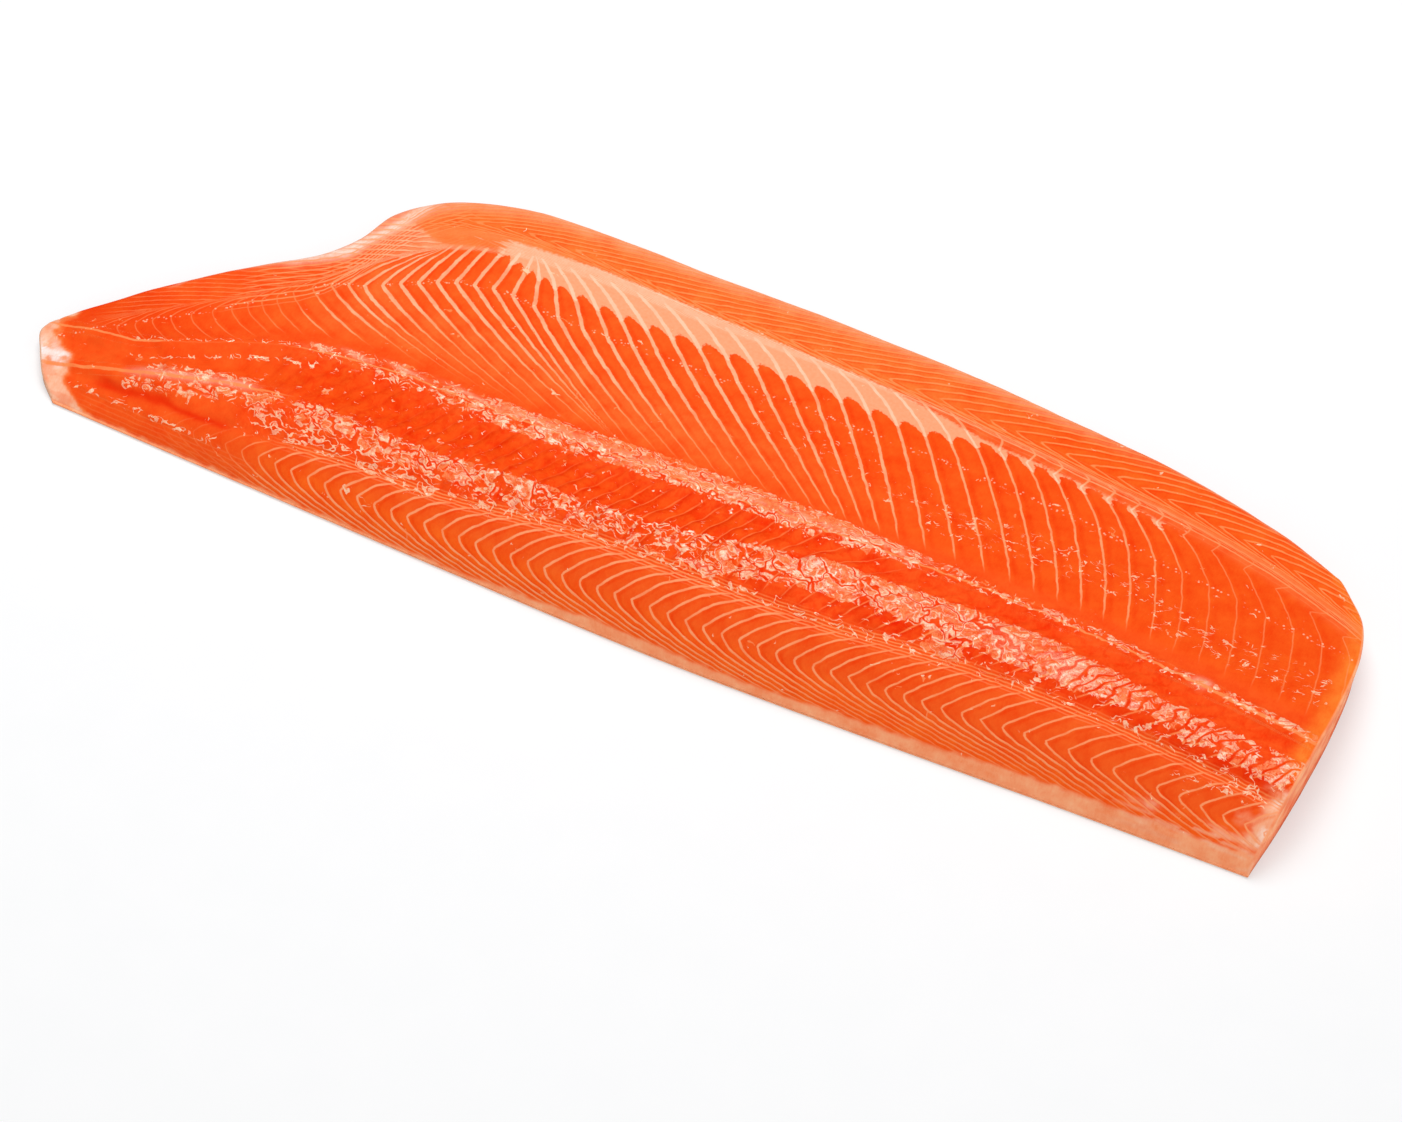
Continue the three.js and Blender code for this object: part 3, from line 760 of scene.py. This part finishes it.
plates = node("TexVoronoi", {"Vector": bent, "Scale": 0.14}, feature="DISTANCE_TO_EDGE")
folds = node("TexNoise", {"Vector": bent, "Scale": 0.6, "Detail": 2.0, "Roughness": 0.6, "Distortion": 0.7})
plate = node("MapRange", {"Value": plates, "From Min": 0.022, "From Max": 0.055}, interpolation_type="SMOOTHSTEP")
rib = node("Math", {0: rib, 1: 0.5}, operation="PINGPONG")
rib = node("MapRange", {"Value": rib, "From Min": 0.07, "From Max": 0.2}, interpolation_type="SMOOTHSTEP")
rib = node("Math", {0: 1.0, 1: rib}, operation="SUBTRACT")
rib = node("Math", {0: rib, 1: ribbed}, operation="MULTIPLY")
rib = node("Math", {0: 1.0, 1: rib}, operation="SUBTRACT")
whole_plate = node("Math", {0: ribbed, 1: 0.7}, operation="MULTIPLY")
plate = node("Math", {0: plate, 1: whole_plate}, operation="MAXIMUM")
plate = node("Math", {0: plate, 1: rib}, operation="MINIMUM")
fold = node("Math", {0: folds, 1: -0.5}, operation="ADD")
fold = node("Math", {0: fold}, operation="ABSOLUTE")
fold = node("MapRange", {"Value": fold, "From Min": 0.01, "From Max": 0.035}, interpolation_type="SMOOTHSTEP")
torn = node("TexNoise", {"Vector": warped, "Scale": 0.16, "Detail": 2.0, "Roughness": 0.55})
torn = node("Math", {0: torn, 1: 1.7, 2: ridge}, operation="MULTIPLY_ADD")
frayed = node("TexNoise", {"Vector": warped, "Scale": 0.42, "Detail": 1.5, "Roughness": 0.55, "Distortion": 0.8})
torn = node("Math", {0: frayed, 1: 1.5, 2: torn}, operation="MULTIPLY_ADD")
torn = node("MapRange", {"Value": torn, "From Min": 2.1, "From Max": 2.18}, interpolation_type="SMOOTHSTEP")
cracked = node("Math", {0: fold, 1: 0.7, 2: 0.3}, operation="MULTIPLY_ADD")
cracked = node("Math", {0: cracked, 1: plate}, operation="MULTIPLY")

# Round them the film lies in thin curled strokes, broken off where a slow noise is low
curls = node("VectorMath", {0: warp, 1: (3.0, 4.0, 0.0), 2: chart}, operation="MULTIPLY_ADD")
curls = node("VectorMath", {0: curls, 1: (0.5, 1.0, 1.0)}, operation="MULTIPLY")
curls = node("TexNoise", {"Vector": curls, "Scale": 0.42, "Detail": 1.3, "Roughness": 0.55, "Distortion": 0.7})
curl = node("Math", {0: curls, 1: -0.5}, operation="ADD")
curl = node("Math", {0: curl}, operation="ABSOLUTE")
broken = node("TexNoise", {"Vector": chart, "Scale": 0.3, "Detail": 2.0})
stroke = node("Math", {0: broken, 1: 0.22, 2: -0.148}, operation="MULTIPLY_ADD")
stroke = node("Math", {0: stroked, 1: 0.082, 2: stroke}, operation="MULTIPLY_ADD")
stroke = node("Math", {0: stroke, 1: curl}, operation="SUBTRACT")
stroke = node("MapRange", {"Value": stroke, "From Min": 0.0, "From Max": 0.012}, interpolation_type="SMOOTHSTEP")
film = node("Math", {0: torn, 1: stroke}, operation="MAXIMUM")
open_cracks = node("Math", {0: 1.0, 1: cracked}, operation="SUBTRACT")
cracks = node("MapRange", {"Value": ridge, "From Min": 0.1, "From Max": 0.5})
cracks = node("Math", {0: open_cracks, 1: cracks}, operation="MULTIPLY")
whole = node("Math", {0: 1.0, 1: cracks}, operation="SUBTRACT")
film = node("Math", {0: film, 1: whole}, operation="MULTIPLY")

# Muscle: the zone's own colour, mottled over some millimetres, with painted shade along the grooves and darker in
# cracks
tone_of = node("Attribute", out="Vector", attribute_name="tone")
mottle = node("TexNoise", {"Vector": chart, "Scale": 0.12, "Detail": 5.0, "Roughness": 0.65})
mottle = node("MapRange", {"Value": mottle, "From Min": 0.32, "From Max": 0.68, "To Min": -1.3, "To Max": 1.1})
# painted shade: the colour darkens along the groove beside each line
lighter = node("Math", {0: shaded_groove, 1: -1.1, 2: mottle}, operation="MULTIPLY_ADD")
cracks = node("Math", {0: cracks, 1: torn}, operation="MULTIPLY")
lighter = node("Math", {0: cracks, 1: -1.0, 2: lighter}, operation="MULTIPLY_ADD")
blotch = node("TexNoise", {"Vector": chart, "Scale": 0.3, "Detail": 4.0, "Roughness": 0.6, "Distortion": 0.8})
blotch = node("MapRange", {"Value": blotch, "From Min": 0.42, "From Max": 0.62})
blotch = node("Math", {0: blotch, 1: red}, operation="MULTIPLY")
lighter = node("Math", {0: blotch, 1: -1.7, 2: lighter}, operation="MULTIPLY_ADD")
grain_way = node("VectorMath", {0: chart, 1: (1.6, 0.5, 1.0)}, operation="MULTIPLY")
fibre = node("TexNoise", {"Vector": grain_way, "Scale": 1.0, "Detail": 2.0})
fibre = node("Math", {0: fibre, 1: 1.6, 2: -0.8}, operation="MULTIPLY_ADD")
lighter = node("Math", {0: lighter, 1: fibre}, operation="ADD")
lightness = node("CombineXYZ", {
    0: node("Math", {0: lighter, 1: 0.02, 2: 1.0}, operation="MULTIPLY_ADD"),
    1: node("Math", {0: lighter, 1: 0.2, 2: 1.0}, operation="MULTIPLY_ADD"),
    2: node("Math", {0: lighter, 1: 0.3, 2: 1.0}, operation="MULTIPLY_ADD"),
})
muscle = node("VectorMath", {0: tone_of, 1: lightness}, operation="MULTIPLY")

# Belly fat: a pale band with a toothed lower edge, each tooth a segment's rounded end
to_fat, in_fat, fat_here = node(
    "SeparateXYZ", {0: node("Attribute", out="Vector", attribute_name="fat")}, out=None).outputs
close = node("Math", {0: distances[0], 1: 1.5}, operation="DIVIDE")
close = node("Math", {0: close, 1: close}, operation="MULTIPLY")
close = node("Math", {0: close, 1: -1.0}, operation="MULTIPLY")
flare = node("Math", {0: close}, operation="EXPONENT")
over = node("Math", {0: flare, 1: 3.4, 2: to_fat}, operation="MULTIPLY_ADD")
ragged = node("Math", {0: fine, 1: 2.4, 2: -1.6}, operation="MULTIPLY_ADD")
over = node("Math", {0: over, 1: ragged}, operation="ADD")
over = node("MapRange", {"Value": over, "From Min": -0.25, "From Max": 0.45}, interpolation_type="SMOOTHSTEP")
under = node("Math", {0: in_fat, 1: ragged}, operation="ADD")
under = node("MapRange", {"Value": under, "From Min": -0.8, "From Max": 0.8}, interpolation_type="SMOOTHSTEP")
fat_shown = node("Math", {0: over, 1: under}, operation="MULTIPLY")
streaks = node("VectorMath", {0: chart, 1: (0.13, 1.0, 1.0)}, operation="MULTIPLY")
streaks = node("TexNoise", {"Vector": streaks, "Scale": 0.8, "Detail": 2.0})
thin = node("Math", {0: fat_here, 1: streaks}, operation="ADD")
thin = node("MapRange", {"Value": thin, "From Min": 0.7, "From Max": 0.95}, interpolation_type="SMOOTHSTEP")
fat_shown = node("Math", {0: fat_shown, 1: thin}, operation="MULTIPLY")
fat_colour = node("Mix", {"Factor": fine, "A": rgba("#fa9565"), "B": rgba("#fdae86")}, out=2, data_type="RGBA")
fleshy = node("Mix", {"Factor": fat_shown, "A": muscle, "B": fat_colour}, out=2, data_type="RGBA")
line_colour = node("Mix", {"Factor": strengths[0], "A": rgba("#fb8d50"), "B": rgba("#fdb48a")}, out=2, data_type="RGBA")
line_colour = node("Mix", {"Factor": fat_shown, "A": line_colour, "B": rgba("#fdc7a6")}, out=2, data_type="RGBA")
marbled = node("Mix", {"Factor": lines_shown, "A": fleshy, "B": line_colour}, out=2, data_type="RGBA")

# Pale specks along the belly lines' kinks: painted glints on small wet beads there
near = node("Math", {0: from_kink}, operation="ABSOLUTE")
near = node("MapRange", {"Value": near, "From Min": 1.5, "From Max": 0.4}, interpolation_type="SMOOTHSTEP")
specks = node("TexVoronoi", {"Vector": chart, "Scale": 0.75})
glint_speck = node("MapRange", {"Value": specks, "From Min": 0.36, "From Max": 0.12}, interpolation_type="SMOOTHSTEP")
glint_speck = node("Math", {0: glint_speck, 1: near}, operation="MULTIPLY")
glint_speck = node("Math", {0: glint_speck, 1: 0.8}, operation="MULTIPLY")
with_glints = node("Mix", {"Factor": glint_speck, "A": marbled, "B": rgba("#fdc3a0")}, out=2, data_type="RGBA")

# The film's pale colour, with painted highlights on the edges of its plates and on its strokes, over the muscle under
# it
lit_edge = node("MapRange", {"Value": plates, "From Min": 0.12, "From Max": 0.06}, interpolation_type="SMOOTHSTEP")
lit_edge = node("Math", {0: lit_edge, 1: stroke}, operation="MAXIMUM")
film_and_glint_colour = node("Mix", {"Factor": lit_edge, "A": rgba("#fc8a50"), "B": rgba("#ffd0a8")}, out=2, data_type="RGBA")
film_and_glint_share = node("MapRange", {"Value": frayed, "From Min": 0.35, "From Max": 0.6, "To Min": 0.4, "To Max": 0.82})
stipple = node("TexNoise", {"Vector": chart, "Scale": 2.2, "Detail": 2.0})
stipple = node("Math", {0: stipple, 1: 1.1, 2: -0.55}, operation="MULTIPLY_ADD")
film_and_glint_share = node("Math", {0: film_and_glint_share, 1: stipple}, operation="ADD")
film_and_glint_share = node("Math", {0: film, 1: film_and_glint_share}, operation="MULTIPLY")
with_glints = node("Mix", {"Factor": film_and_glint_share, "A": with_glints, "B": film_and_glint_colour}, out=2, data_type="RGBA")

# Skin: silvery below, olive towards the back, a pink flush along the middle and small dark spots
place = node("TexCoord", out="Object")
place_y = node("SeparateXYZ", {0: place}, out=1)
to_back = node("MapRange", {"Value": place_y, "From Min": 0.0, "From Max": -0.055}, interpolation_type="SMOOTHSTEP")
flush = node("MapRange", {"Value": place_y, "From Min": -0.03, "From Max": 0.02, "To Min": -1.0, "To Max": 1.0})
flush = node("Math", {0: flush, 1: flush}, operation="MULTIPLY")
flush = node("MapRange", {"Value": flush, "From Min": 1.0, "From Max": 0.0, "To Max": 0.45})
silver = node("Mix", {"Factor": flush, "A": rgba("#b9bab2"), "B": rgba("#c98f86")}, out=2, data_type="RGBA")
silver = node("Mix", {"Factor": to_back, "A": silver, "B": rgba("#6d6c5c")}, out=2, data_type="RGBA")
spots = node("TexVoronoi", {"Vector": place, "Scale": 110.0}, voronoi_dimensions="2D")
spots = node("MapRange", {"Value": spots, "From Min": 0.22, "From Max": 0.15}, interpolation_type="SMOOTHSTEP")
spots = node("Math", {0: spots, 1: to_back}, operation="MULTIPLY")
spotted = node("Mix", {"Factor": spots, "A": silver, "B": rgba("#23241f")}, out=2, data_type="RGBA")
skin_share = node("Attribute", out="Fac", attribute_name="skin")
skin_share = node("MapRange", {"Value": skin_share, "From Min": 0.6, "From Max": 0.98}, interpolation_type="SMOOTHSTEP")
surface = node("Mix", {"Factor": skin_share, "A": with_glints, "B": spotted}, out=2, data_type="RGBA")

# Fine height in millimetres: plates and flakes of the film, soft ripples, raised sheets, grooves
wrinkles = node("Math", {0: fold, 1: 0.05}, operation="MULTIPLY")
wrinkles = node("Math", {0: plate, 1: 0.16, 2: wrinkles}, operation="MULTIPLY_ADD")
ripples = node("TexNoise", {"Vector": chart, "Scale": 0.45, "Detail": 3.0, "Roughness": 0.6, "Distortion": 0.7})
wrinkles = node("Math", {0: ripples, 1: 0.42, 2: wrinkles}, operation="MULTIPLY_ADD")
wrinkles = node("Math", {0: wrinkles, 1: rough}, operation="MULTIPLY")
grain = node("TexNoise", {"Vector": chart, "Scale": 1.3, "Detail": 2.0})
height = node("Math", {0: grain, 1: 0.08, 2: wrinkles}, operation="MULTIPLY_ADD")
height = node("Math", {0: lines, 1: 0.05, 2: height}, operation="MULTIPLY_ADD")
height = node("Math", {0: shaded_groove, 1: -0.08, 2: height}, operation="MULTIPLY_ADD")
bumped = node("Bump", {"Strength": 0.4, "Distance": MM, "Height": height})
wet_bumped = node("Bump", {"Strength": 0.8, "Distance": MM, "Height": height})

body = tree.nodes.new("ShaderNodeBsdfPrincipled")
tree.links.new(surface, body.inputs["Base Color"])
tree.links.new(bumped, body.inputs["Normal"])
tree.links.new(wet_bumped, body.inputs["Coat Normal"])
wetness = node("Math", {0: lit_edge, 1: 0.42, 2: 0.24}, operation="MULTIPLY_ADD")
tree.links.new(node("Math", {0: film, 1: wetness}, operation="MULTIPLY"), body.inputs["Coat Weight"])
body.inputs["Roughness"].default_value = 0.6
body.inputs["Specular IOR Level"].default_value = 0.02
body.inputs["Coat Roughness"].default_value = 0.05
body.inputs["Coat IOR"].default_value = 1.7
result = tree.nodes.new("ShaderNodeOutputMaterial")
tree.links.new(body.outputs[0], result.inputs["Surface"])

mesh.materials.append(flesh)
fillet = bpy.data.objects.new("fillet", mesh)
bpy.context.scene.collection.objects.link(fillet)
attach(fillet, "root")
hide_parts("trout_fillet")

# The floor
# A plain table top of white acrylic, lit a little from below, large enough to fill the view.
FLOOR_HALF = 3.0
floor_mesh = bpy.data.meshes.new("floor")
corners = [(-FLOOR_HALF, -FLOOR_HALF, 0), (FLOOR_HALF, -FLOOR_HALF, 0), (FLOOR_HALF, FLOOR_HALF, 0), (-FLOOR_HALF, FLOOR_HALF, 0)]
floor_mesh.from_pydata(corners, [], [(0, 1, 2, 3)])
floor = bpy.data.objects.new("floor", floor_mesh)
bpy.context.scene.collection.objects.link(floor)
paper = bpy.data.materials.new("white_paper")
paper.use_nodes = True
tree = paper.node_tree
sheet_shader = tree.nodes["Principled BSDF"]
fibres = node("TexNoise", {"Vector": node("TexCoord", out="Object"), "Scale": 60.0, "Detail": 3.0})
fibres = node("Mix", {"Factor": fibres, "A": rgba("#bbbcbd"), "B": rgba("#bfbfc0")}, out=2, data_type="RGBA")
tree.links.new(fibres, sheet_shader.inputs["Base Color"])
sheet_shader.inputs["Emission Color"].default_value = rgba("#ffffff")
sheet_shader.inputs["Emission Strength"].default_value = 0.45
sheet_shader.inputs["Roughness"].default_value = 0.9
sheet_shader.inputs["Specular IOR Level"].default_value = 0.1
floor_mesh.materials.append(paper)
floor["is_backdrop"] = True

# The camera
# It looks down steeply from the back edge's side, a little from the head end, through a long lens.
CAMERA_AZIMUTH, CAMERA_ELEVATION = np.radians(25.73), np.radians(54)
CAMERA_DISTANCE = 1027.6 * MM
AIM = Vector((16.73, -32.23, 0)) * MM
towards = Vector((
    np.sin(CAMERA_AZIMUTH) * np.cos(CAMERA_ELEVATION),
    -np.cos(CAMERA_AZIMUTH) * np.cos(CAMERA_ELEVATION),
    np.sin(CAMERA_ELEVATION),
))
rightwards = Vector((np.cos(CAMERA_AZIMUTH), np.sin(CAMERA_AZIMUTH), 0))
camera_data = bpy.data.cameras.new("camera")
camera_data.lens = 85
camera_data.sensor_fit = "HORIZONTAL"
camera_data.sensor_width = 36
camera_data.clip_start = 0.05
camera_data.clip_end = 50
camera = bpy.data.objects.new("camera", camera_data)
turned = Matrix((rightwards, towards.cross(rightwards), towards)).transposed().to_4x4()
camera.matrix_world = Matrix.Translation(AIM + towards * CAMERA_DISTANCE) @ turned
bpy.context.scene.collection.objects.link(camera)
bpy.context.scene.camera = camera

# The light
# One large softbox high at the back, whose reflection lies on the wet ridges, and a pale room.


def softbox(name, azimuth, elevation, distance, sides, power, colour):
    """A rectangular area light that faces the origin from an azimuth and an elevation in degrees."""
    a, e = np.radians(azimuth), np.radians(elevation)
    data = bpy.data.lights.new(name, "AREA")
    data.shape = "RECTANGLE"
    data.size, data.size_y = sides
    data.energy = power
    data.color = linear(colour)
    light = bpy.data.objects.new(name, data)
    place = Vector((np.sin(a) * np.cos(e), -np.cos(a) * np.cos(e), np.sin(e))) * distance
    light.matrix_world = Matrix.Translation(place) @ place.to_track_quat("Z", "Y").to_matrix().to_4x4()
    bpy.context.scene.collection.objects.link(light)


softbox("key", 25.73 + 180, 73, 1.3, (0.75, 0.8), 13.9, "#ffffff")
world = bpy.data.worlds.new("room")
world.use_nodes = True
tree = world.node_tree
facing = node("VectorMath", {0: node("TexCoord", out="Generated"), 1: (0.8, -0.6, 0.0)}, out=1, operation="DOT_PRODUCT")
glow = node("MapRange", {"Value": facing, "From Min": -0.3, "From Max": 0.8, "To Min": 0.06, "To Max": 1.05})
tree.links.new(glow, tree.nodes["Background"].inputs["Strength"])
tree.nodes["Background"].inputs["Color"].default_value = rgba("#ffffff")
bpy.context.scene.world = world
bpy.context.scene.view_settings.view_transform = "Standard"

low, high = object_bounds()
